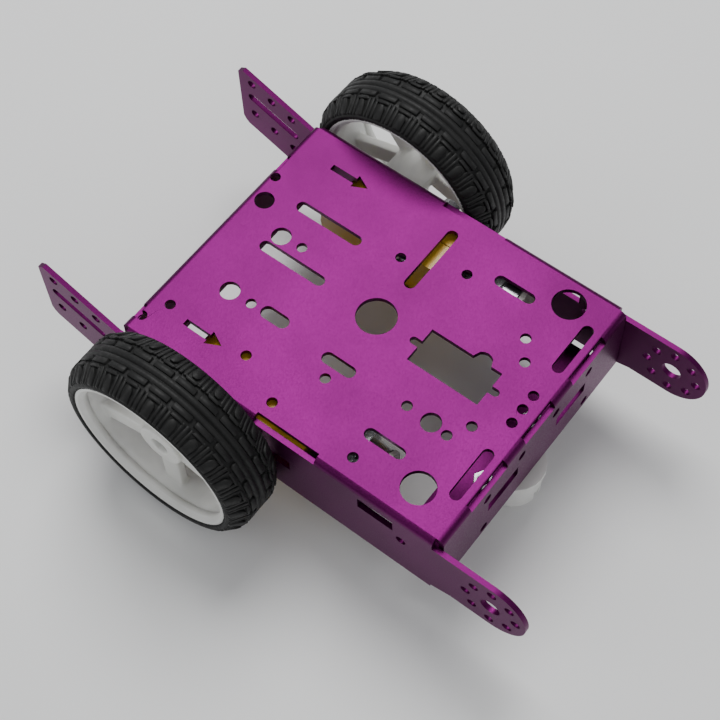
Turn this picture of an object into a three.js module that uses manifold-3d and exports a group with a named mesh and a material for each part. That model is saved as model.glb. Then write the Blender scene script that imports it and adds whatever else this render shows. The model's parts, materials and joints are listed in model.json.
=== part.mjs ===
// Two-wheel robot car: a folded aluminium chassis that carries two geared motors,
// two spoked wheels with rubber tyres, and a ball caster under the front.
//
// Lengths are in millimetres. While pieces are made, x runs forward from the deck's
// rear edge, y runs left from its middle and z runs up from its top face. Pieces of
// one side are made for the left side and mirrored for the right side.
import * as THREE from 'three';
import { mergeVertices } from 'three/addons/utils/BufferGeometryUtils.js';
import Module from 'manifold-3d';

const wasm = await Module();
wasm.setup();

// ---- driving dimensions ---------------------------------------------------------
const GAP = 0.3;
const GRID = 1e4;
const DECK = { length: 111, width: 90, sheet: 1.6, bend: 2.2, wall: 29 };
const FLANGE = { depth: 18, halfWidth: 41 };
const PATTERN_Y = 0.9;
const AXLE = { x: 27.7, z: -14 };
const TYRE = { radius: 32.4, inner: 46.3, outer: 67, seat: 26.8 };
const RIM = { radius: 26.5, wall: 1.8, inner: 48, outer: 64 };
const SPOKE = { count: 5, width: 6.4, thick: 3, middle: 58.8 };
const HUB = { radius: 7.2, inner: 45.9, bore: 53, seat: 58.2, outer: 62 };
const EAR = { x: 127.6, z: -15, radius: 11.2, circle: 8 };
const REAR_EAR = { x: -29.6, slope: Math.tan(THREE.MathUtils.degToRad(21)) };
const GEARBOX = { thick: 18.8, half: 11.25, wall: 1.4, bay: 36.3 };
const MOTOR = { front: 30.5, back: 54.5, radius: 10, flat: 7.7, wall: 0.8, boss: 2.6 };
const MOUNT = { x: 20.7, z: 8.8, clear: 1.8, shank: 1.5 };
const GEARS = { reductionX: 11.25, crownX: 21.25, pin: 0.75, bore: 1.05 };
const CASTER = { x: 105.5, flange: 9, ball: 7, screwY: 12 };
const SCREW_HOLE = 1.6;

const INNER_WALL = DECK.width / 2 - DECK.sheet;
const GEARBOX_FACE = INNER_WALL - GAP;
const FLOOR = AXLE.z - TYRE.radius;
const TIP = EAR.x + EAR.radius;

// ---- shapes and solids ----------------------------------------------------------
const polygon = (points) => new THREE.Shape(points.map(([u, v]) => new THREE.Vector2(u, v)));
const rectangle = (u0, v0, u1, v1) => polygon([[u0, v0], [u1, v0], [u1, v1], [u0, v1]]);
const circle = (u, v, r) => new THREE.Shape().absarc(u, v, r, 0, 2 * Math.PI);

/** Slot with round ends between two end centres. */
function slot(u0, v0, u1, v1, width) {
  const turn = Math.atan2(v1 - v0, u1 - u0) - Math.PI / 2;
  const shape = new THREE.Shape();
  shape.absarc(u1, v1, width / 2, turn, turn + Math.PI);
  shape.absarc(u0, v0, width / 2, turn + Math.PI, turn + 2 * Math.PI);
  return shape;
}

/** Closed geometry as a manifold solid, on a 0.1 micron grid so that flush faces coincide. */
function solid(geometry) {
  geometry.deleteAttribute('normal');
  geometry.deleteAttribute('uv');
  const { array } = geometry.attributes.position;
  array.forEach((value, i) => { array[i] = Math.round(value * GRID) / GRID; });
  const merged = mergeVertices(geometry, 1e-5);
  return new wasm.Manifold(new wasm.Mesh({
    numProp: 3,
    vertProperties: new Float32Array(merged.attributes.position.array),
    triVerts: new Uint32Array(merged.index.array),
  }));
}

/** Shape swept straight along an axis from a to b; (u, v) are the other two axes. */
function sweep(axis, shape, a, b, arcSteps = 6) {
  const depth = b - a;
  const geometry = new THREE.ExtrudeGeometry(shape, { depth, bevelEnabled: false, curveSegments: arcSteps });
  const [x, y, z] = [new THREE.Vector3(1, 0, 0), new THREE.Vector3(0, 1, 0), new THREE.Vector3(0, 0, 1)];
  const frames = { x: [y, z, x], y: [x, z, y.clone().negate()], z: [x, y, z] };
  geometry.applyMatrix4(new THREE.Matrix4().makeBasis(...frames[axis]));
  const start = { x: [a, 0, 0], y: [0, b, 0], z: [0, 0, a] };
  geometry.translate(...start[axis]);
  return solid(geometry);
}

/** Profile of [radius, distance along y] turned about the y axis through (x, z). */
function turned(profile, x, z, segments) {
  const points = [...profile, profile[0]].map(([r, y]) => new THREE.Vector2(r, y));
  return solid(new THREE.LatheGeometry(points, segments).translate(x, 0, z));
}

const join = (solids) => solids.reduce((whole, next) => whole.add(next));
const cut = (body, tools) => tools.reduce((whole, tool) => whole.subtract(tool), body);

function geometryOf(body, mirrored) {
  const mesh = body.getMesh();
  const geometry = new THREE.BufferGeometry();
  geometry.setAttribute('position', new THREE.BufferAttribute(new Float32Array(mesh.vertProperties), 3));
  const index = Array.from(mesh.triVerts);
  if (mirrored) {
    geometry.scale(1, -1, 1);
    index.reverse();
  }
  geometry.setIndex(index);
  geometry.computeVertexNormals();
  return geometry;
}

// ---- materials ------------------------------------------------------------------
const finish = (color, roughness, metalness = 0) =>
  new THREE.MeshStandardMaterial({ color, roughness, metalness });
const MATERIAL = {
  purple: finish(0x8f3f96, 0.4, 0.85),
  rim: finish(0xe4e3de, 0.45),
  rubber: finish(0x1b1b1c, 0.85),
  yellow: finish(0xe3b21c, 0.5),
  steel: finish(0xb9bcc0, 0.3, 1),
  brass: finish(0xc9a24a, 0.35, 1),
  copper: finish(0xb4683c, 0.4, 1),
  ferrite: finish(0x3a3a3d, 0.7),
  nylon: finish(0xeeeeea, 0.5),
  clear: finish(0xd8dcdc, 0.2),
};

// ---- chassis --------------------------------------------------------------------
/**
 * Sheet section from u0 to u1 with a leg folded down at each end. A flange folds back
 * from the foot of the second leg, where it has a depth.
 */
function channel(u0, u1, flangeDepth = 0) {
  const { sheet, bend, wall } = DECK;
  const [foot, inside] = [bend - wall, bend - sheet];
  const shape = new THREE.Shape();
  shape.moveTo(u0, -wall);
  shape.lineTo(u0, -bend);
  shape.absarc(u0 + bend, -bend, bend, Math.PI, Math.PI / 2, true);
  shape.absarc(u1 - bend, -bend, bend, Math.PI / 2, 0, true);
  if (flangeDepth > 0) {
    shape.absarc(u1 - bend, foot, bend, 0, -Math.PI / 2, true);
    shape.lineTo(u1 - flangeDepth, -wall);
    shape.lineTo(u1 - flangeDepth, sheet - wall);
    shape.absarc(u1 - bend, foot, inside, -Math.PI / 2, 0);
  } else {
    shape.lineTo(u1, -wall);
    shape.lineTo(u1 - sheet, -wall);
  }
  shape.absarc(u1 - bend, -bend, inside, 0, Math.PI / 2);
  shape.absarc(u0 + bend, -bend, inside, Math.PI / 2, Math.PI);
  shape.lineTo(u0 + sheet, -wall);
  return shape;
}

/** Round-ended ear in the plane of a side wall, ahead of the front wall. */
function frontEar() {
  const root = DECK.length - 7;
  const shape = new THREE.Shape();
  shape.moveTo(root, EAR.z + EAR.radius);
  shape.lineTo(EAR.x, EAR.z + EAR.radius);
  shape.absarc(EAR.x, EAR.z, EAR.radius, Math.PI / 2, -Math.PI / 2, true);
  shape.lineTo(DECK.length + 4, EAR.z - EAR.radius);
  shape.lineTo(root, -DECK.wall);
  const plate = sweep('y', shape, INNER_WALL, DECK.width / 2, 10);
  const holes = [circle(EAR.x, EAR.z, 3.1)];
  for (let i = 0; i < 8; i += 1) {
    const angle = (i * Math.PI) / 4;
    const [x, z] = [EAR.x + EAR.circle * Math.cos(angle), EAR.z + EAR.circle * Math.sin(angle)];
    holes.push(circle(x, z, 1.5));
  }
  return cut(plate, holes.map((hole) => sweep('y', hole, INNER_WALL - 1, DECK.width / 2 + 1, 5)));
}

/** Slanted ear behind the rear wall, with two rows of holes and a slot between them. */
function rearEar() {
  const { x: back, slope } = REAR_EAR;
  const lineAt = (height) => (x) => height - slope * x;
  const [top, upper, middle, lower, bottom] = [-5.7, -8.8, -15.5, -22.9, -30.8].map(lineAt);
  const round = 2;
  const foot = (DECK.wall + bottom(0)) / slope;
  const plate = sweep('y', polygon([
    [6, -4.2], [-1.5, top(-1.5)], [back + round, top(back + round)], [back, top(back) - round],
    [back, bottom(back) + round], [back + round, bottom(back + round)], [foot, -DECK.wall], [6, -DECK.wall],
  ]), INNER_WALL, DECK.width / 2);
  const holes = [slot(-24.8, middle(-24.8), -8.8, middle(-8.8), 3.2)];
  for (const x of [-24.5, -17, -9.5]) {
    holes.push(circle(x, upper(x), 1.5), circle(x, lower(x), 1.5));
  }
  return cut(plate, holes.map((hole) => sweep('y', hole, INNER_WALL - 1, DECK.width / 2 + 1, 5)));
}

/** Arrow that points forward. */
function arrow(y) {
  const [tail, neck, tip, shaft, barb] = [13.9, 22.5, 27.2, 1, 2.3];
  return polygon([
    [tail, y - shaft], [neck, y - shaft], [neck, y - barb], [tip, y],
    [neck, y + barb], [neck, y + shaft], [tail, y + shaft],
  ]);
}

/** Everything cut through the deck, with y measured from the middle of the hole pattern. */
function deckCuts() {
  const round = [
    [55.6, 0, 6], [96.3, 35.2, 5], [96.3, -35.2, 5],
    [5.5, 11.9, 3], [17.4, 5, 3], [17.4, -18, 3], [87.5, -17.7, 3],
  ];
  const small = [
    [2.8, 20.3], [24.6, 5.5], [49.3, 19.7], [67.7, 26.3], [24.9, -17.7], [6.9, -31.6], [2.8, -39],
    [34.5, -31.5], [49.5, -38.6], [56.4, -24.1], [77.1, -38.5], [79.3, -17.5], [93.1, -18.3],
    [96.9, -12.1], [92.9, 19], [97, 12.6], [104.8, 5.4], [104.8, 0.3], [104.8, -4.8],
  ];
  const slots = [
    slot(15.9, 16.7, 35.4, 16.7, 3.6), slot(15.9, -0.3, 35.4, -0.3, 3.6),
    slot(76.6, 30.2, 86.2, 30.2, 3.6), slot(76.6, -30.2, 86.2, -30.2, 3.6),
    slot(53.1, -18.6, 60.4, -18.6, 3.8), slot(30.5, -17.2, 35.7, -17.2, 4.2),
    slot(56.6, 14.4, 56.6, 34.4, 3.6),
    slot(105.2, 16.7, 105.2, 31, 3.6), slot(105.2, -30.8, 105.2, -16.5, 3.6),
  ];
  const straight = [arrow(33.1), arrow(-33.3), rectangle(70.6, -5.95, 94.2, 5.95)];
  const servo = [circle(87.5, 5.95, 3), slot(68.6, 0, 96, 0, 2.4)];
  const through = (shape, arcSteps) => sweep('z', shape, -DECK.sheet - 1, 1, arcSteps);
  return [
    ...round.map(([x, y, r]) => through(circle(x, y, r), 11)),
    ...small.map(([x, y]) => through(circle(x, y, SCREW_HOLE), 5)),
    ...slots.map((shape) => through(shape, 4)),
    ...straight.map((shape) => through(shape, 1)),
    ...servo.map((shape) => through(shape, 4)),
  ].map((tool) => tool.translate(0, PATTERN_Y, 0));
}

/** Windows along the folds and the holes in the front wall. */
function endWallCuts() {
  const { length, sheet } = DECK;
  const lip = -2.2;
  const frontWindow = ([a, b]) => sweep('y', rectangle(length - sheet - 0.2, lip, length + 1, 1), a, b);
  const rearWindow = ([a, b]) => sweep('y', rectangle(-1, lip, sheet + 0.2, 1), a, b);
  const through = (shape) => sweep('x', shape, length - sheet - 1, length + 1, 4);
  const holes = [];
  for (const side of [-1, 1]) {
    holes.push(circle(24.2 * side, -6.9, SCREW_HOLE), circle(8.1 * side, -6.9, SCREW_HOLE));
    holes.push(circle(24.7 * side, -24.4, SCREW_HOLE));
    holes.push(rectangle(16.3 * side - 7, -16.4, 16.3 * side + 7, -11.8));
  }
  return [
    ...[[15.5, 31.8], [-7, 6.9], [-31.8, -15.3]].map(frontWindow),
    ...[[22.6, 29.1], [-40.4, -35.4]].map(rearWindow),
    ...holes.map(through),
  ].map((tool) => tool.translate(0, PATTERN_Y, 0));
}

/** Openings in a side wall: fold window, slots, motor screws and the output shaft. */
function sideWallCuts() {
  const shapes = [
    rectangle(54, -16.3, 60.3, -11.8), rectangle(84, -9.1, 95.7, -4.2), circle(98.4, -12, SCREW_HOLE),
    circle(AXLE.x, AXLE.z, 4.4), circle(AXLE.x + MOUNT.x, AXLE.z + MOUNT.z, MOUNT.clear),
    circle(AXLE.x + MOUNT.x, AXLE.z - MOUNT.z, MOUNT.clear),
  ];
  const through = shapes.map((shape) => sweep('y', shape, INNER_WALL - 1, DECK.width / 2 + 1));
  return [...through, sweep('y', rectangle(48.3, -1.9, 69.4, 1), DECK.width / 2 - 2.8, DECK.width / 2 + 1)];
}

function chassis() {
  const { length, width, wall, bend } = DECK;
  const deck = join([
    sweep('x', channel(-width / 2, width / 2), bend + 0.4, length - bend - 0.4, 2),
    sweep('y', channel(0, length, FLANGE.depth), GAP - INNER_WALL, INNER_WALL - GAP, 2),
  ]);
  const leftSide = [frontEar(), rearEar()];
  const body = join([deck, ...leftSide, ...leftSide.map((ear) => solid(geometryOf(ear, true)))]);
  const flangeCorner = rectangle(
    length - FLANGE.depth - 1, FLANGE.halfWidth, length - bend - 0.4, INNER_WALL - GAP / 2,
  );
  const leftCuts = [
    ...sideWallCuts(),
    sweep('z', flangeCorner, -wall - 1, DECK.sheet - wall + 1),
  ];
  const casterHoles = [-1, 1].map((side) => circle(CASTER.x - 3, CASTER.screwY * side, SCREW_HOLE));
  return cut(body, [
    ...deckCuts(), ...endWallCuts(), ...leftCuts,
    ...leftCuts.map((tool) => solid(geometryOf(tool, true))),
    ...casterHoles.map((hole) => sweep('z', hole, -wall - 1, -wall + DECK.sheet + 1, 5)),
  ]);
}

// ---- geared motor, left side ----------------------------------------------------
/** y of a point at a depth inward from the gearbox's outer face. */
const inward = (depth) => GEARBOX_FACE - depth;
/** Sweep along y between two depths; shapes are drawn from the output shaft's axis. */
function layer(shape, from, to, arcSteps) {
  return sweep('y', shape, inward(to), inward(from), arcSteps).translate(AXLE.x, 0, AXLE.z);
}
/** Sweep along x from the output shaft's axis; shapes are drawn about the motor's axis. */
function lengthways(shape, from, to, arcSteps) {
  return sweep('x', shape, from, to, arcSteps).translate(AXLE.x, inward(GEARBOX.thick / 2), AXLE.z);
}

/** Gearbox outline in side view, shrunk by an inset. */
function gearboxOutline(inset) {
  const [half, bayHalf, end] = [GEARBOX.half - inset, GEARBOX.half - 0.9 - inset, GEARBOX.bay];
  const shape = new THREE.Shape();
  shape.absarc(0, 0, half, Math.PI / 2, 1.5 * Math.PI);
  shape.lineTo(25.5, -half);
  shape.lineTo(26.5, -bayHalf);
  shape.lineTo(end, -bayHalf);
  shape.lineTo(end, bayHalf);
  shape.lineTo(26.5, bayHalf);
  shape.lineTo(25.5, half);
  return shape;
}

/** Circle with a flat on each side at u = -flat and u = flat. */
function flatted(radius, flat) {
  const corner = Math.acos(flat / radius);
  const shape = new THREE.Shape();
  shape.absarc(0, 0, radius, corner, Math.PI - corner);
  shape.absarc(0, 0, radius, Math.PI + corner, 2 * Math.PI - corner);
  return shape;
}

/** Outline of the motor body, grown by an offset. */
const motorSection = (offset) => flatted(MOTOR.radius + offset, MOTOR.flat + offset);

/** One moulded half of the gearbox, between two depths; the open side faces the other half. */
function gearboxShell(from, to, floor) {
  const { wall, thick } = GEARBOX;
  const [near, far] = floor === 'outer' ? [from + wall, to + 1] : [from - 1, to - wall];
  const posts = [MOUNT.z, -MOUNT.z].map((z) => circle(MOUNT.x, z, MOUNT.clear + 1.1));
  const motorBlock = layer(rectangle(27.5, -12, 40, 12), near - 1, far + 1);
  const hollow = cut(layer(gearboxOutline(wall), near, far, 5), [
    motorBlock,
    ...posts.map((post) => layer(post, near - 1, far + 1, 4)),
  ]);
  const bossReach = floor === 'outer' ? [near - 0.5, 4.6] : [14.4, far + 0.5];
  const pinX = [GEARS.reductionX, GEARS.crownX];
  const bosses = pinX.map((x) => layer(circle(x, 0, 1.9), ...bossReach, 4));
  const pins = pinX.map((x) => layer(circle(x, 0, GEARS.bore), 0.5, thick - 0.5, 3));
  const screws = [MOUNT.z, -MOUNT.z].map((z) => layer(circle(MOUNT.x, z, MOUNT.clear), -1, thick + 1, 4));
  const shell = cut(layer(gearboxOutline(0), from, to, 6), [hollow]);
  return cut(join([shell, ...bosses]), [
    ...pins, ...screws,
    layer(circle(0, 0, 3), -1, thick - wall + 0.6, 6),
    lengthways(motorSection(GAP), MOTOR.front - GAP, GEARBOX.bay + 1, 5),
    lengthways(circle(0, 0, MOTOR.boss + GAP), 26.5, MOTOR.front + 1, 5),
  ]);
}

/** Toothed disc outline with thin, straight-sided teeth; turn sets the first tooth's angle. */
function gearOutline(teeth, radius, turn) {
  const size = (2 * radius) / teeth;
  const [tip, root] = [radius + 0.7 * size, radius - size];
  const pitch = (2 * Math.PI) / teeth;
  const corners = [[root, -0.26], [tip, -0.13], [tip, 0.13], [root, 0.26]];
  const points = [];
  for (let i = 0; i < teeth; i += 1) {
    for (const [r, part] of corners) {
      const angle = turn + (i + part) * pitch;
      points.push([r * Math.cos(angle), r * Math.sin(angle)]);
    }
  }
  return polygon(points);
}
const HALF_PINION_TOOTH = Math.PI / 6;

/** Output gear and double-flat shaft, moulded in one piece. */
function outputGear() {
  return join([
    layer(gearOutline(24, 9, 0), 9, 12.4),
    layer(circle(0, 0, 2.4), 2.2, 16.8, 5),
    layer(circle(0, 0, 2.7), -1, 3, 6),
    layer(flatted(2.7, 1.85), GEARBOX_FACE - 52, -0.5, 4),
  ]).subtract(layer(circle(0, 0, 0.8), GEARBOX_FACE - 53, GEARBOX_FACE - 44, 4));
}

/** Middle gear: the wheel is driven by the crown gear's pinion, its pinion drives the output. */
function reductionGear() {
  const x = GEARS.reductionX;
  const body = join([
    layer(gearOutline(24, 8, 0), 5.2, 7.4),
    layer(gearOutline(6, 2.25, HALF_PINION_TOOTH), 7.2, 13.8),
  ]).subtract(layer(circle(0, 0, GEARS.bore), 4, 15, 5));
  return body.translate(x, 0, 0);
}

/** Crown gear with face teeth towards the motor's pinion and a pinion of its own. */
function crownGear() {
  const parts = [
    layer(circle(0, 0, 5.8), 11.9, 13.4, 7),
    layer(gearOutline(6, 2, HALF_PINION_TOOTH), 5, 12),
  ];
  for (let i = 0; i < 18; i += 1) {
    const angle = ((i + 0.5) * Math.PI) / 9;
    const tooth = new THREE.BoxGeometry(1.2, 1.45, 0.6).translate(5.2, 0, 0).rotateY(angle);
    parts.push(solid(tooth.translate(AXLE.x, inward(11.325), AXLE.z)));
  }
  return join(parts).subtract(layer(circle(0, 0, GEARS.bore), 4, 15, 5)).translate(GEARS.crownX, 0, 0);
}

/** Rotor: shaft, wound core and the pinion that drives the crown gear. */
function rotor() {
  return join([
    lengthways(circle(0, 0, 1), 25.9, MOTOR.back + 3.6, 5),
    lengthways(gearOutline(6, 1.75, 0), 25.9, 27.2),
    lengthways(circle(0, 0, 5.2), 34, 46, 8),
    lengthways(circle(0, 0, 2.6), 48, 52, 6),
  ]);
}

function motorCan() {
  const { front, back, wall, boss } = MOTOR;
  const can = lengthways(motorSection(0), front, back, 6);
  const bearing = lengthways(circle(0, 0, boss), 28.4, front + 0.5, 6);
  return cut(join([can, bearing]), [
    lengthways(motorSection(-wall), front + wall, back + 1, 6),
    lengthways(circle(0, 0, 1.4), 27, 40, 5),
  ]);
}

function motorEndCap() {
  const { back, wall, boss } = MOTOR;
  const slots = [-1, 1].map((side) => rectangle(side * 5.2 - 1.3, -0.7, side * 5.2 + 1.3, 0.7));
  return cut(
    join([
      lengthways(motorSection(-wall - GAP), back - 2, back + 0.6, 6),
      lengthways(motorSection(0), back + GAP, back + 1.8, 6),
      lengthways(circle(0, 0, boss), back + 1, back + 4.2, 6),
    ]),
    [
      lengthways(circle(0, 0, 1.4), back - 3, back + 3.9, 5),
      ...slots.map((shape) => lengthways(shape, back - 3, back + 3)),
    ],
  );
}

/** Soldering tag through the end cap; side -1 or 1 picks the slot. */
function terminal(side) {
  const centre = side * 5.2;
  return lengthways(rectangle(centre - 1, -0.4, centre + 1, 0.4), MOTOR.back - 1, MOTOR.back + 5);
}

/** Curved magnet against the inside of the can, above or below the rotor. */
function magnet(side) {
  const outer = motorSection(-MOTOR.wall - GAP);
  const shell = lengthways(outer, 34, 47, 6).subtract(lengthways(circle(0, 0, 6.2), 33, 48, 8));
  const keep = rectangle(-6, Math.min(side * 4, side * 10), 6, Math.max(side * 4, side * 10));
  return shell.intersect(lengthways(keep, 33, 48));
}

/** Clear strap that holds the motor into the gearbox. */
function motorStrap() {
  const [top, side] = [MOTOR.radius, MOTOR.flat];
  const [out, inn] = [1.3, GAP];
  const ring = (offset) => rectangle(-side - offset, -top - offset, side + offset, top + offset);
  return lengthways(ring(out), 43, 49).subtract(lengthways(ring(inn), 42, 50));
}

const gearPin = (x) => layer(circle(x, 0, GEARS.pin), 0.8, GEARBOX.thick - 0.8, 4);

// ---- fasteners ------------------------------------------------------------------
/** Pan-head screw along y from the side wall inward. */
function mountScrew(z) {
  const head = DECK.width / 2 + GAP;
  const centre = [MOUNT.x, z];
  const slotBox = rectangle(centre[0] - 2.2, z - 0.4, centre[0] + 2.2, z + 0.4);
  return join([
    layer(circle(...centre, 2.7), GEARBOX_FACE - head - 1.8, GEARBOX_FACE - head, 6),
    layer(circle(...centre, MOUNT.shank), GEARBOX_FACE - head - 0.5, GEARBOX.thick + 3.6, 5),
  ]).subtract(layer(slotBox, GEARBOX_FACE - head - 3, GEARBOX_FACE - head - 1.1));
}

const hexagon = (u, v, r) => polygon([0, 1, 2, 3, 4, 5].map((i) => {
  const angle = (i * Math.PI) / 3;
  return [u + r * Math.cos(angle), v + r * Math.sin(angle)];
}));

function mountNut(z) {
  const start = GEARBOX.thick + GAP;
  return layer(hexagon(MOUNT.x, z, 3.1), start, start + 2.4)
    .subtract(layer(circle(MOUNT.x, z, MOUNT.clear), start - 1, start + 4, 5));
}

// ---- wheel, left side -----------------------------------------------------------
/** Rim: barrel, wide flat spokes near the outer face, and a hub with a double-flat bore. */
function wheelRim() {
  const { radius, wall, inner, outer } = RIM;
  const barrel = turned([
    [radius, inner], [radius, outer], [radius - 1.2, outer], [radius - wall, outer - 2],
    [radius - wall - 0.8, inner + 4], [radius - wall, inner],
  ], AXLE.x, AXLE.z, 40);
  const hub = sweep('y', circle(0, 0, HUB.radius), HUB.inner, HUB.outer, 10).translate(AXLE.x, 0, AXLE.z);
  const arms = [];
  for (let i = 0; i < SPOKE.count; i += 1) {
    const arm = new THREE.BoxGeometry(radius - wall, SPOKE.thick, SPOKE.width);
    arm.translate((radius - wall + 1) / 2, 0, 0);
    arm.rotateY(Math.PI / 2 + (i * 2 * Math.PI) / SPOKE.count).translate(AXLE.x, SPOKE.middle, AXLE.z);
    arms.push(solid(arm));
  }
  const bore = sweep('y', flatted(2.7 + GAP, 1.85 + GAP), HUB.inner - 1, HUB.bore, 4);
  const screwHole = sweep('y', circle(0, 0, 1.3), HUB.bore - 1, HUB.outer + 1, 5);
  const headSeat = sweep('y', circle(0, 0, 2.9), HUB.seat, HUB.outer + 1, 8);
  const holes = [bore, screwHole, headSeat].map((tool) => tool.translate(AXLE.x, 0, AXLE.z));
  return cut(join([barrel, hub, ...arms]), holes);
}

/** Tyre with round shoulders and a shallow groove round the crown. */
function tyre() {
  const { radius, inner, outer, seat } = TYRE;
  const middle = (inner + outer) / 2;
  return turned([
    [seat, inner + 0.9], [28.2, inner], [30.4, inner + 0.7], [31.8, inner + 3], [radius, inner + 6],
    [radius, middle - 1.2], [radius - 1, middle], [radius, middle + 1.2],
    [radius - 0.2, outer - 5.4], [31.2, outer - 2.6], [29.4, outer - 0.5], [27.8, outer],
    [seat, outer - 1.6],
  ], AXLE.x, AXLE.z, 40);
}

/** Screw that holds the wheel on the shaft's end. */
function wheelScrew() {
  const at = (shape, from, to, steps) => sweep('y', shape, from, to, steps).translate(AXLE.x, 0, AXLE.z);
  const under = HUB.seat + GAP;
  const thread = at(circle(0, 0, 0.5), 48, 52.5, 4);
  const shank = at(circle(0, 0, 1), 52.3, under + 0.5, 4);
  const head = at(circle(0, 0, 2.5), under, under + 1.5, 6);
  const driverSlot = at(rectangle(-2, -0.35, 2, 0.35), under + 1, under + 3);
  return join([thread, shank, head]).subtract(driverSlot);
}

// ---- caster ---------------------------------------------------------------------
/** Housing below the flange: round plate with two screw ears and a cup round the ball. */
function casterHousing() {
  const top = -DECK.wall - GAP;
  const centre = FLOOR + CASTER.ball;
  const ear = (side) => slot(0, 0, -3, CASTER.screwY * side, 6.4);
  const body = join([
    sweep('z', circle(0, 0, CASTER.flange), top - 2.2, top, 10),
    sweep('z', ear(1), top - 2, top, 5),
    sweep('z', ear(-1), top - 2, top, 5),
    sweep('z', circle(0, 0, CASTER.ball + 1.2), centre - 2.6, top - 1, 9),
  ]);
  const ballRoom = new THREE.SphereGeometry(CASTER.ball + GAP, 18, 11).rotateX(Math.PI / 2);
  return cut(body, [
    solid(ballRoom.translate(0, 0, centre)),
    sweep('z', circle(-3, CASTER.screwY, SCREW_HOLE + 0.2), top - 4, top + 1, 5),
    sweep('z', circle(-3, -CASTER.screwY, SCREW_HOLE + 0.2), top - 4, top + 1, 5),
    sweep('x', rectangle(-1.2, centre - 5, 1.2, centre + 1.5), -12, 12),
  ]).translate(CASTER.x, 0, 0);
}

const casterBall = () => solid(new THREE.SphereGeometry(CASTER.ball, 18, 11)
  .rotateX(Math.PI / 2).translate(CASTER.x, 0, FLOOR + CASTER.ball));

function casterScrew(side) {
  const [x, y] = [CASTER.x - 3, CASTER.screwY * side];
  const under = -DECK.wall - 2 * GAP - 2;
  return join([
    sweep('z', circle(x, y, 2.7), under - 1.8, under, 6),
    sweep('z', circle(x, y, 1.3), under - 0.5, -DECK.wall + DECK.sheet + 3.6, 5),
  ]).subtract(sweep('z', rectangle(x - 2.2, y - 0.4, x + 2.2, y + 0.4), under - 3, under - 1.1));
}

function casterNut(side) {
  const [x, y, seat] = [CASTER.x - 3, CASTER.screwY * side, -DECK.wall + DECK.sheet + GAP];
  return sweep('z', hexagon(x, y, 3.1), seat, seat + 2.4)
    .subtract(sweep('z', circle(x, y, SCREW_HOLE), seat - 1, seat + 4, 5));
}

// ---- scene graph ----------------------------------------------------------------
const car = new THREE.Group();
car.position.set(-(REAR_EAR.x + TIP) / 2, 0, -FLOOR);

function addPiece(name, body, material, mirrored = false) {
  const mesh = new THREE.Mesh(geometryOf(body, mirrored), material);
  mesh.name = name;
  car.add(mesh);
}

const { thick } = GEARBOX;
const sidePieces = [
  ['gearbox_outer_shell', gearboxShell(0, thick / 2 - GAP / 2, 'outer'), MATERIAL.yellow],
  ['gearbox_inner_shell', gearboxShell(thick / 2 + GAP / 2, thick, 'inner'), MATERIAL.yellow],
  ['output_gear', outputGear(), MATERIAL.nylon],
  ['reduction_gear', reductionGear(), MATERIAL.nylon],
  ['crown_gear', crownGear(), MATERIAL.nylon],
  ['reduction_pin', gearPin(GEARS.reductionX), MATERIAL.steel],
  ['crown_pin', gearPin(GEARS.crownX), MATERIAL.steel],
  ['rotor', rotor(), MATERIAL.copper],
  ['motor_can', motorCan(), MATERIAL.steel],
  ['motor_end_cap', motorEndCap(), MATERIAL.nylon],
  ['magnet_upper', magnet(1), MATERIAL.ferrite],
  ['magnet_lower', magnet(-1), MATERIAL.ferrite],
  ['terminal_outer', terminal(1), MATERIAL.brass],
  ['terminal_inner', terminal(-1), MATERIAL.brass],
  ['motor_strap', motorStrap(), MATERIAL.clear],
  ['mount_screw_upper', mountScrew(MOUNT.z), MATERIAL.steel],
  ['mount_screw_lower', mountScrew(-MOUNT.z), MATERIAL.steel],
  ['mount_nut_upper', mountNut(MOUNT.z), MATERIAL.steel],
  ['mount_nut_lower', mountNut(-MOUNT.z), MATERIAL.steel],
  ['wheel_rim', wheelRim(), MATERIAL.rim],
  ['tyre', tyre(), MATERIAL.rubber],
  ['wheel_screw', wheelScrew(), MATERIAL.steel],
];

addPiece('chassis', chassis(), MATERIAL.purple);
for (const [name, body, material] of sidePieces) {
  addPiece(`left_${name}`, body, material);
  addPiece(`right_${name}`, body, material, true);
}
addPiece('caster_housing', casterHousing(), MATERIAL.nylon);
addPiece('caster_ball', casterBall(), MATERIAL.nylon);
for (const [name, side] of [['left', 1], ['right', -1]]) {
  addPiece(`caster_screw_${name}`, casterScrew(side), MATERIAL.steel);
  addPiece(`caster_nut_${name}`, casterNut(side), MATERIAL.steel);
}

export default car;
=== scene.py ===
"""Looks of the two-wheel robot car: purple anodised chassis, block-tread tyres, white rims."""
import json
import math

import bmesh
import bpy
from mathutils import Matrix, Vector


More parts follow.
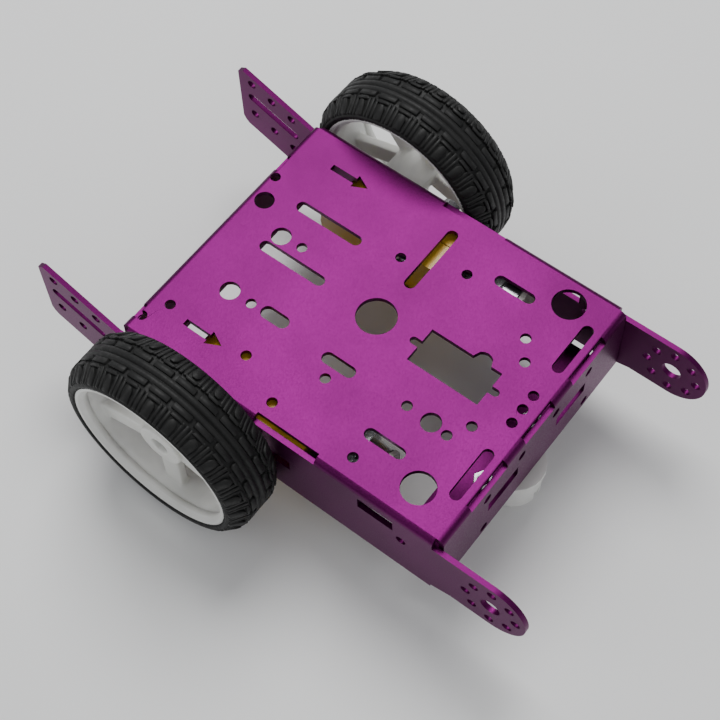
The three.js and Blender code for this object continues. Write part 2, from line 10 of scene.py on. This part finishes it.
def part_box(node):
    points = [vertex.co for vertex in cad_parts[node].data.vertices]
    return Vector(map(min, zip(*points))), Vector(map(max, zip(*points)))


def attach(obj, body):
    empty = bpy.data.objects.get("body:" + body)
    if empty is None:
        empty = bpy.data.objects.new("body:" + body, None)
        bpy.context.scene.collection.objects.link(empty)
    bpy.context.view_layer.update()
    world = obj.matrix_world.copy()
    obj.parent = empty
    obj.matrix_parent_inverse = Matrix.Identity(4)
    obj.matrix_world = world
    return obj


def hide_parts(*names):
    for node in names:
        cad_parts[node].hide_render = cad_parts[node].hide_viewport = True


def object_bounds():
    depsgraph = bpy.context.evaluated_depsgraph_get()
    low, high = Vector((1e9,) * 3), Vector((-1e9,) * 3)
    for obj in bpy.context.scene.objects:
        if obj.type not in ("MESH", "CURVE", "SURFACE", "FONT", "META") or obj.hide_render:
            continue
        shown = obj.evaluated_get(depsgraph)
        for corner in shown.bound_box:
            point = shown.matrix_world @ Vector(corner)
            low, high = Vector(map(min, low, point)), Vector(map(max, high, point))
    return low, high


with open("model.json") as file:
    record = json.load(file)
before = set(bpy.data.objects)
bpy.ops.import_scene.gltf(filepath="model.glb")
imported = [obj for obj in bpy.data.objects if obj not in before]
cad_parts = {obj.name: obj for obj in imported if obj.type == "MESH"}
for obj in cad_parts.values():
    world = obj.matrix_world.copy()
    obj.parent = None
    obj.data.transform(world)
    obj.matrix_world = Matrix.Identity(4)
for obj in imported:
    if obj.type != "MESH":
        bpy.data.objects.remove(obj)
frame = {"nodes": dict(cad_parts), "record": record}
cad_low, cad_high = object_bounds()

MM = 0.001
SEAM = 0.002 * MM
FLAT_ANGLE = math.radians(0.5)
SIDES = {"left": 1, "right": -1}


# ---- node materials --------------------------------------------------------------
class Shader:
    """A Principled material built node by node, with textures in object coordinates."""

    def __init__(self, name, **sockets):
        self.material = bpy.data.materials.new(name)
        self.material.use_nodes = True
        self.tree = self.material.node_tree
        self.bsdf = self.tree.nodes["Principled BSDF"]
        self.coords = self.tree.nodes.new("ShaderNodeTexCoord").outputs["Object"]
        for socket, value in sockets.items():
            self.bsdf.inputs[socket.replace("_", " ")].default_value = value

    def link(self, output, target):
        self.tree.links.new(output, target)

    def stretched(self, scale):
        mapping = self.tree.nodes.new("ShaderNodeMapping")
        mapping.inputs["Scale"].default_value = scale
        self.link(self.coords, mapping.inputs["Vector"])
        return mapping.outputs["Vector"]

    def noise(self, scale, detail=4.0, vector=None):
        node = self.tree.nodes.new("ShaderNodeTexNoise")
        node.inputs["Scale"].default_value = scale
        node.inputs["Detail"].default_value = detail
        self.link(vector or self.coords, node.inputs["Vector"])
        return node.outputs["Fac"]

    def voronoi(self, scale):
        node = self.tree.nodes.new("ShaderNodeTexVoronoi")
        node.inputs["Scale"].default_value = scale
        self.link(self.coords, node.inputs["Vector"])
        return node.outputs["Distance"]

    def spread(self, factor, low, high, start=0.3, end=0.7):
        """Maps a texture value to a range."""
        node = self.tree.nodes.new("ShaderNodeMapRange")
        for socket, value in zip(("From Min", "From Max", "To Min", "To Max"), (start, end, low, high)):
            node.inputs[socket].default_value = value
        self.link(factor, node.inputs["Value"])
        return node.outputs["Result"]

    def colours(self, factor, dark, light, start=0.35, end=0.65):
        ramp = self.tree.nodes.new("ShaderNodeValToRGB")
        ramp.color_ramp.elements[0].position = start
        ramp.color_ramp.elements[1].position = end
        ramp.color_ramp.elements[0].color = (*dark, 1)
        ramp.color_ramp.elements[1].color = (*light, 1)
        self.link(factor, ramp.inputs["Fac"])
        return ramp.outputs["Color"]

    def share(self, value, part):
        return self.spread(value, 0, part, 0, 1)

    def total(self, first, second):
        node = self.tree.nodes.new("ShaderNodeMath")
        self.link(first, node.inputs[0])
        self.link(second, node.inputs[1])
        return node.outputs[0]

    def base(self, colour):
        self.link(colour, self.bsdf.inputs["Base Color"])

    def rough(self, value):
        self.link(value, self.bsdf.inputs["Roughness"])

    def bumped(self, height, strength, depth):
        node = self.tree.nodes.new("ShaderNodeBump")
        node.inputs["Strength"].default_value = strength
        node.inputs["Distance"].default_value = depth
        self.link(height, node.inputs["Height"])
        self.link(node.outputs["Normal"], self.bsdf.inputs["Normal"])
        return self


def anodised():
    """Bead-blasted and dyed aluminium: a fine sparkle over slow changes of shade."""
    m = Shader("anodised_purple", Metallic=0.9)
    fine = m.noise(2600, 2)
    shade = m.total(m.share(fine, 0.6), m.share(m.noise(38, 3), 0.4))
    m.base(m.colours(shade, (0.078, 0.0010, 0.058), (0.132, 0.0022, 0.100)))
    m.rough(m.spread(fine, 0.34, 0.5))
    return m.bumped(fine, 0.35, 0.00005).material


def rubber():
    m = Shader("tyre_rubber", Specular_IOR_Level=0.42)
    m.base(m.colours(m.noise(220, 5), (0.0025, 0.0025, 0.0025), (0.0065, 0.0065, 0.006)))
    m.rough(m.spread(m.noise(900, 3), 0.52, 0.72))
    return m.bumped(m.noise(3200, 2), 0.25, 0.00005).material


def moulded(name, dark, light, roughness, grain=1800, **sockets):
    """Moulded plastic with slow flow marks and a faint grain."""
    m = Shader(name, **sockets)
    m.base(m.colours(m.noise(60, 3), dark, light))
    m.rough(m.spread(m.noise(300, 3), roughness - 0.06, roughness + 0.06))
    return m.bumped(m.noise(grain, 2), 0.12, 0.00004).material


def milky(name, weight):
    return moulded(
        name, (0.70, 0.70, 0.665), (0.80, 0.80, 0.765), 0.38,
        Subsurface_Weight=weight, Subsurface_Radius=(0.004, 0.004, 0.0036), Subsurface_Scale=1.0,
    )


def metal(name, dark, light, roughness, stretch=(1, 1, 30)):
    """Drawn or plated metal with fine lines along it."""
    m = Shader(name, Metallic=1.0)
    lines = m.noise(260, 4, m.stretched(stretch))
    m.base(m.colours(lines, dark, light))
    m.rough(m.spread(lines, roughness - 0.07, roughness + 0.09))
    return m.bumped(lines, 0.08, 0.00003).material


def wound():
    """Copper windings: fine bands round the rotor."""
    m = Shader("wound_copper", Metallic=0.9)
    bands = m.noise(700, 2, m.stretched((14, 1, 1)))
    m.base(m.colours(bands, (0.26, 0.09, 0.035), (0.72, 0.32, 0.16)))
    m.rough(m.spread(bands, 0.28, 0.46))
    return m.bumped(bands, 0.5, 0.0001).material


def sintered():
    m = Shader("ferrite")
    m.base(m.colours(m.voronoi(1500), (0.02, 0.02, 0.022), (0.05, 0.05, 0.053), 0.1, 0.7))
    m.rough(m.spread(m.noise(500), 0.6, 0.8))
    return m.bumped(m.voronoi(1500), 0.3, 0.00006).material


MATERIALS = {
    "purple_aluminium": anodised(),
    "tyre_rubber": rubber(),
    "rim_plastic": milky("milky_rim", 0.35),
    "yellow_plastic": moulded(
        "yellow_shell", (0.66, 0.37, 0.012), (0.76, 0.45, 0.02), 0.36, Coat_Weight=0.2,
    ),
    "white_nylon": moulded("white_nylon", (0.72, 0.70, 0.63), (0.82, 0.80, 0.74), 0.42),
    "caster_nylon": milky("caster_nylon", 0.2),
    "steel": metal("zinc_steel", (0.46, 0.47, 0.49), (0.64, 0.65, 0.67), 0.3),
    "brass": metal("tinned_brass", (0.55, 0.42, 0.17), (0.76, 0.62, 0.32), 0.32),
    "wound_copper": wound(),
    "ferrite": sintered(),
    "clear_plastic": moulded(
        "clear_strap", (0.80, 0.83, 0.84), (0.88, 0.90, 0.91), 0.16, Transmission_Weight=0.75, IOR=1.46,
    ),
}


# ---- meshes ----------------------------------------------------------------------
EDGE_ROUNDING = {"chassis": 0.22 * MM, "motor_can": 0.3 * MM, "gearbox": 0.35 * MM, "caster": 0.3 * MM}


def smooth(piece, angle=32):
    for polygon in piece.data.polygons:
        polygon.use_smooth = True
    with bpy.context.temp_override(object=piece, selected_objects=[piece], active_object=piece):
        bpy.ops.object.shade_smooth_by_angle(angle=math.radians(angle))


def linked(name, mesh, slot, body, *nodes):
    """Adds a mesh as a piece that rides on a body and stands for CAD nodes."""
    piece = bpy.data.objects.new(name, mesh)
    bpy.context.scene.collection.objects.link(piece)
    mesh.materials.append(MATERIALS[slot])
    smooth(piece)
    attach(piece, body)
    if nodes:
        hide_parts(*nodes)
    return piece


def rounded(obj, width, segments=2):
    """Closes the seams of a CAD mesh, joins its flat faces and rounds its edges."""
    weld = obj.modifiers.new("weld", "WELD")
    weld.merge_threshold = SEAM
    flat = obj.modifiers.new("flat", "DECIMATE")
    flat.decimate_type = "DISSOLVE"
    flat.angle_limit = FLAT_ANGLE
    bevel = obj.modifiers.new("round", "BEVEL")
    bevel.width = width
    bevel.segments = segments
    bevel.limit_method = "ANGLE"
    bevel.angle_limit = math.radians(40)
    bevel.use_clamp_overlap = True
    obj.modifiers.new("shading", "WEIGHTED_NORMAL").keep_sharp = True


def revolved(name, profile, steps):
    """Closed ring from [radius, y] points turned about the y axis through the origin."""
    mesh = bpy.data.meshes.new(name)
    count = len(profile)
    points = []
    for i in range(steps):
        turn = 2 * math.pi * i / steps
        points += [(r * math.cos(turn), y, r * math.sin(turn)) for r, y in profile]
    faces = []
    for i in range(steps):
        near, far = i * count, (i + 1) % steps * count
        for j in range(count):
            k = (j + 1) % count
            faces.append((near + j, near + k, far + k, far + j))
    mesh.from_pydata(points, [], faces)
    return mesh


def outward(mesh):
    """Turns every face of a closed mesh outwards."""
    tidy = bmesh.new()
    tidy.from_mesh(mesh)
    bmesh.ops.recalc_face_normals(tidy, faces=tidy.faces)
    tidy.to_mesh(mesh)
    tidy.free()
    return mesh


def placed(mesh, centre, side):
    """Moves a mesh made about the wheel's centre to its side, mirrored for the right."""
    if side < 0:
        mesh.transform(Matrix.Scale(-1, 4, (0, 1, 0)))
        mesh.flip_normals()
    mesh.transform(Matrix.Translation(centre))
    mesh.update()
    return mesh


# ---- tyre ------------------------------------------------------------------------
TREAD_PITCHES = 26
TREAD_DEPTH = 0.9 * MM


def wheel_place(side_name):
    """Centre of a wheel and the tyre's half width and radius, from the CAD tyre's box."""
    low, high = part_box(f"{side_name}_tyre")
    return (low + high) / 2, (high.y - low.y) / 2, (high.z - low.z) / 2


def crown_height(across, half, radius):
    """Radius of the tread surface at a distance across from the middle."""
    share = min(1.0, abs(across) / half)
    return radius - radius * 0.105 * max(0.0, (share - 0.42) / 0.58) ** 2.1


def tread_block(outline, half, radius, turn, rise):
    """Block on the tread: an outline of (along, across) points standing up from the carcass."""
    rings = ((0.0, -1.6 * MM), (0.0, rise - 0.16 * MM), (0.16 * MM, rise))
    middle = [sum(p[i] for p in outline) / len(outline) for i in (0, 1)]
    points = []
    for inset, height in rings:
        for along, across in outline:
            reach = math.hypot(along - middle[0], across - middle[1])
            pull = 1 - inset / reach
            u = middle[0] + (along - middle[0]) * pull
            v = middle[1] + (across - middle[1]) * pull
            r = crown_height(v, half, radius) - TREAD_DEPTH + height
            angle = turn + u / radius
            points.append((r * math.cos(angle), v, r * math.sin(angle)))
    n = len(outline)
    faces = [
        (level + j, level + (j + 1) % n, level + n + (j + 1) % n, level + n + j)
        for level in (0, n) for j in range(n)
    ]
    faces.append(tuple(2 * n + j for j in range(n)))
    return points, faces


def house(near, far, width, roof):
    """Five-cornered outline whose roof points from the shoulder towards the middle."""
    return [(-width, far), (-width, near + roof), (-width * 0.45, near), (width * 0.45, near),
            (width, near + roof), (width, far)]


def tread_rows(half, radius):
    """Outlines for one pitch: framed shoulder houses, the bars between, and middle ribs."""
    pitch = 2 * math.pi * radius / TREAD_PITCHES
    w = pitch / 2
    inner, outer = half * 0.36, half * 0.97
    core = house(inner + 2.4 * MM, outer, w * 0.36, 0.9 * MM)
    left_leg = [(-w * 0.74, outer), (-w * 0.74, inner + 1.3 * MM), (-w * 0.5, inner + 1.3 * MM),
                (-w * 0.5, outer)]
    right_leg = [(-u, v) for u, v in reversed(left_leg)]
    lintel = [(-w * 0.62, inner + 1.9 * MM), (-w * 0.4, inner + 0.9 * MM), (w * 0.4, inner + 0.9 * MM),
              (w * 0.62, inner + 1.9 * MM), (w * 0.4, inner + 1.95 * MM), (-w * 0.4, inner + 1.95 * MM)]
    bar = [(w * 0.86, outer), (w * 0.86, inner + 1.2 * MM), (w * 1.14, inner + 1.2 * MM), (w * 1.14, outer)]
    foot = [(-w * 0.8, inner + 0.3 * MM), (-w * 0.8, inner - 1.5 * MM), (w * 0.8, inner - 1.5 * MM),
            (w * 0.8, inner + 0.3 * MM)]
    return [(core, 1.0), (left_leg, 0.86), (right_leg, 0.86), (lintel, 0.86), (bar, 1.0), (foot, 0.95)]


def tread_mesh(name, half, radius):
    mesh = bpy.data.meshes.new(name)
    points, faces = [], []
    rows = tread_rows(half, radius)
    for i in range(TREAD_PITCHES):
        for flip in (1, -1):
            stagger = 0 if flip > 0 else math.pi / TREAD_PITCHES
            turn = 2 * math.pi * i / TREAD_PITCHES + stagger
            for outline, share in rows:
                shape = [(u, v * flip) for u, v in outline]
                new_points, new_faces = tread_block(shape, half, radius, turn, TREAD_DEPTH * share)
                faces += [tuple(k + len(points) for k in face) for face in new_faces]
                points += new_points
    mesh.from_pydata(points, [], faces)
    return outward(mesh)


def carcass_profile(half, radius):
    """Tyre section below the blocks, with a pair of fine ribs round the middle."""
    seat = radius - 5.2 * MM
    across = [half * s for s in (-0.94, -0.8, -0.6, -0.42, -0.25)]
    left = [(crown_height(v, half, radius) - TREAD_DEPTH, v) for v in across]
    ribs = []
    for middle in (-1.15 * MM, 1.15 * MM):
        floor, top = radius - TREAD_DEPTH, radius - 0.12 * MM
        ribs += [(floor, middle - 0.95 * MM), (top, middle - 0.75 * MM), (top, middle + 0.75 * MM),
                 (floor, middle + 0.95 * MM)]
    right = [(r, -v) for r, v in reversed(left)]
    wall = [(radius * 0.875, half), (radius * 0.845, half - 0.25 * MM), (seat, half - 1.5 * MM)]
    return [(r, -v) for r, v in reversed(wall)] + left + ribs + right + wall


def add_tyre(side_name, side):
    centre, half, radius = wheel_place(side_name)
    body = f"{side_name}_wheel"
    carcass = revolved(f"{side_name}_tyre_carcass", carcass_profile(half, radius), 192)
    carcass.flip_normals()
    carcass = placed(carcass, centre, side)
    linked(f"{side_name}_tyre_carcass", carcass, "tyre_rubber", body, f"{side_name}_tyre")
    tread = placed(tread_mesh(f"{side_name}_tyre_tread", half * 0.985, radius), centre, side)
    linked(f"{side_name}_tyre_tread", tread, "tyre_rubber", body)


# ---- rim -------------------------------------------------------------------------
def add_rim(side_name):
    """Soft-edged moulding made from the CAD rim: filled into one skin, then relaxed."""
    source = frame["nodes"][f"{side_name}_wheel_rim"]
    mesh = source.data.copy()
    mesh.materials.clear()
    piece = linked(f"{side_name}_rim_moulding", mesh, "rim_plastic", f"{side_name}_wheel", source.name)
    skin = piece.modifiers.new("skin", "REMESH")
    skin.mode = "VOXEL"
    skin.voxel_size = 0.38 * MM
    skin.use_smooth_shade = True
    relax = piece.modifiers.new("relax", "SMOOTH")
    relax.factor = 0.5
    relax.iterations = 7


def add_rim_lip(side_name, side):
    """Ring at each edge of the rim: stepped on the outer face, plain beside the chassis."""
    centre, half, radius = wheel_place(side_name)
    bead = radius - 5.3 * MM
    face = half - 0.35 * MM
    steps = [(0.8, 3.4), (0, 3.1), (0, 0.6), (0.25, 0.15), (0.9, 0), (1.4, 0.3), (1.6, 0.9), (2.2, 1.2),
             (2.4, 1.7), (2.4, 3.2)]
    plain = [(0, 2.4), (0, 0.5), (0.3, 0.1), (0.8, 0), (1.2, 0.3), (1.35, 0.8), (1.35, 2.4)]
    outer = [(bead - inset * MM, face - depth * MM) for inset, depth in steps]
    inner = [(bead - inset * MM, depth * MM - face) for inset, depth in reversed(plain)]
    for end, profile in (("outer", outer), ("inner", inner)):
        name = f"{side_name}_rim_lip_{end}"
        mesh = placed(revolved(name, profile, 160), centre, side)
        linked(name, outward(mesh), "rim_plastic", f"{side_name}_wheel")


# ---- chassis ---------------------------------------------------------------------
LARGEST_ARC = 12 * MM
SMALLEST_TURN, LARGEST_TURN = 0.08, 0.8


def is_arc_side(edge):
    """Whether the turn across an edge is that between two facets of an arc."""
    return edge.is_manifold and SMALLEST_TURN < abs(edge.calc_face_angle_signed()) < LARGEST_TURN


def bowed_edges(skin):
    """Rim edges of the facets that stand for an arc, with how far the arc bows past each."""
    bows = []
    for face in skin.faces:
        sides = [e for e in face.edges if is_arc_side(e)]
        if len(face.verts) != 4 or len(sides) != 2 or set(sides[0].verts) & set(sides[1].verts):
            continue
        turn = max((e.calc_face_angle_signed() for e in sides), key=abs)
        for edge in set(face.edges) - set(sides):
            chord = edge.calc_length()
            if chord < abs(2 * math.sin(turn / 2)) * LARGEST_ARC:
                bows.append((edge, face.normal * chord / 2 * math.tan(turn / 4)))
    return bows


def round_arcs(skin):
    """Halves the facets of every small arc and moves the new points out onto the arc."""
    bows = bowed_edges(skin)
    middles = {tuple(round(c, 7) for c in (e.verts[0].co + e.verts[1].co) / 2): bow for e, bow in bows}
    edges = sorted({e for e, bow in bows}, key=lambda edge: edge.index)
    split = bmesh.ops.subdivide_edges(skin, edges=edges, cuts=1, use_grid_fill=True)
    for vert in (g for g in split["geom_inner"] if isinstance(g, bmesh.types.BMVert)):
        vert.co += middles.get(tuple(round(c, 7) for c in vert.co), Vector())


def add_chassis():
    """Copy of the CAD sheet whose holes and corners have finer facets."""
    mesh = frame["nodes"]["chassis"].data.copy()
    mesh.materials.clear()
    skin = bmesh.new()
    skin.from_mesh(mesh)
    bmesh.ops.remove_doubles(skin, verts=skin.verts, dist=SEAM)
    bmesh.ops.dissolve_limit(skin, angle_limit=FLAT_ANGLE, verts=skin.verts, edges=skin.edges)
    skin.edges.index_update()
    round_arcs(skin)
    skin.to_mesh(mesh)
    skin.free()
    piece = linked("chassis_sheet", mesh, "purple_aluminium", "chassis", "chassis")
    rounded(piece, EDGE_ROUNDING["chassis"])


# ---- carried-over nodes ----------------------------------------------------------
def finish_nodes():
    """Gives every CAD node its slot's material, and rounds the edges of those that stay."""
    slots = {row["node"]: row["material_slot"] for row in frame["record"]["subparts"]}
    for name, obj in frame["nodes"].items():
        obj.data.materials.clear()
        obj.data.materials.append(MATERIALS[slots[name]])
        width = next((w for key, w in EDGE_ROUNDING.items() if key in name), 0.12 * MM)
        if not name.endswith(("tyre", "wheel_rim", "caster_ball", "chassis")):
            rounded(obj, width)


# ---- floor, light and camera -----------------------------------------------------
def add_floor():
    mesh = bpy.data.meshes.new("floor")
    reach = 4.0
    mesh.from_pydata([(-reach, -reach, 0), (reach, -reach, 0), (reach, reach, 0), (-reach, reach, 0)],
                     [], [(0, 1, 2, 3)])
    floor = bpy.data.objects.new("floor", mesh)
    bpy.context.scene.collection.objects.link(floor)
    pale = Shader("pale_floor", Roughness=0.7)
    pale.base(pale.colours(pale.noise(6, 2), (0.86, 0.86, 0.855), (0.89, 0.89, 0.885)))
    mesh.materials.append(pale.material)


def add_light(name, position, target, size, power):
    lamp = bpy.data.lights.new(name, "AREA")
    lamp.shape = "DISK"
    lamp.size = size
    lamp.energy = power
    obj = bpy.data.objects.new(name, lamp)
    obj.location = position
    obj.rotation_euler = (Vector(target) - Vector(position)).to_track_quat("-Z", "Y").to_euler()
    bpy.context.scene.collection.objects.link(obj)


def add_lights(middle):
    add_light("key", (-0.35, 0.45, 1.1), middle, 0.8, 12.5)
    add_light("fill", (0.9, -0.4, 1.0), middle, 1.0, 2.5)
    add_light("side", (-0.7, -0.8, 0.7), middle, 0.8, 2)
    world = bpy.data.worlds.new("studio")
    world.use_nodes = True
    world.node_tree.nodes["Background"].inputs["Color"].default_value = (0.80, 0.82, 0.85, 1)
    world.node_tree.nodes["Background"].inputs["Strength"].default_value = 0.42
    bpy.context.scene.world = world


def add_camera():
    """Camera above the car's front right corner, turned slightly about its own axis."""
    position = Vector((0.1443, -0.1784, 0.4244))
    forward = Vector((-0.3180, 0.3801, -0.8685))
    right = Vector((0.7921, 0.6100, -0.0231))
    forward.normalize()
    right = (right - right.dot(forward) * forward).normalized()
    up = right.cross(forward)
    camera = bpy.data.objects.new("camera", bpy.data.cameras.new("camera"))
    turn = Matrix((right, up, -forward)).transposed().to_4x4()
    camera.matrix_world = Matrix.Translation(position) @ turn
    camera.data.sensor_width = 36.0
    camera.data.lens = 79.355
    camera.data.clip_start = 0.01
    bpy.context.scene.collection.objects.link(camera)
    bpy.context.scene.camera = camera


finish_nodes()
for side_name, side in SIDES.items():
    add_tyre(side_name, side)
    add_rim(side_name)
    add_rim_lip(side_name, side)
add_chassis()
add_floor()
add_lights((0, 0, cad_high.z / 2))
add_camera()
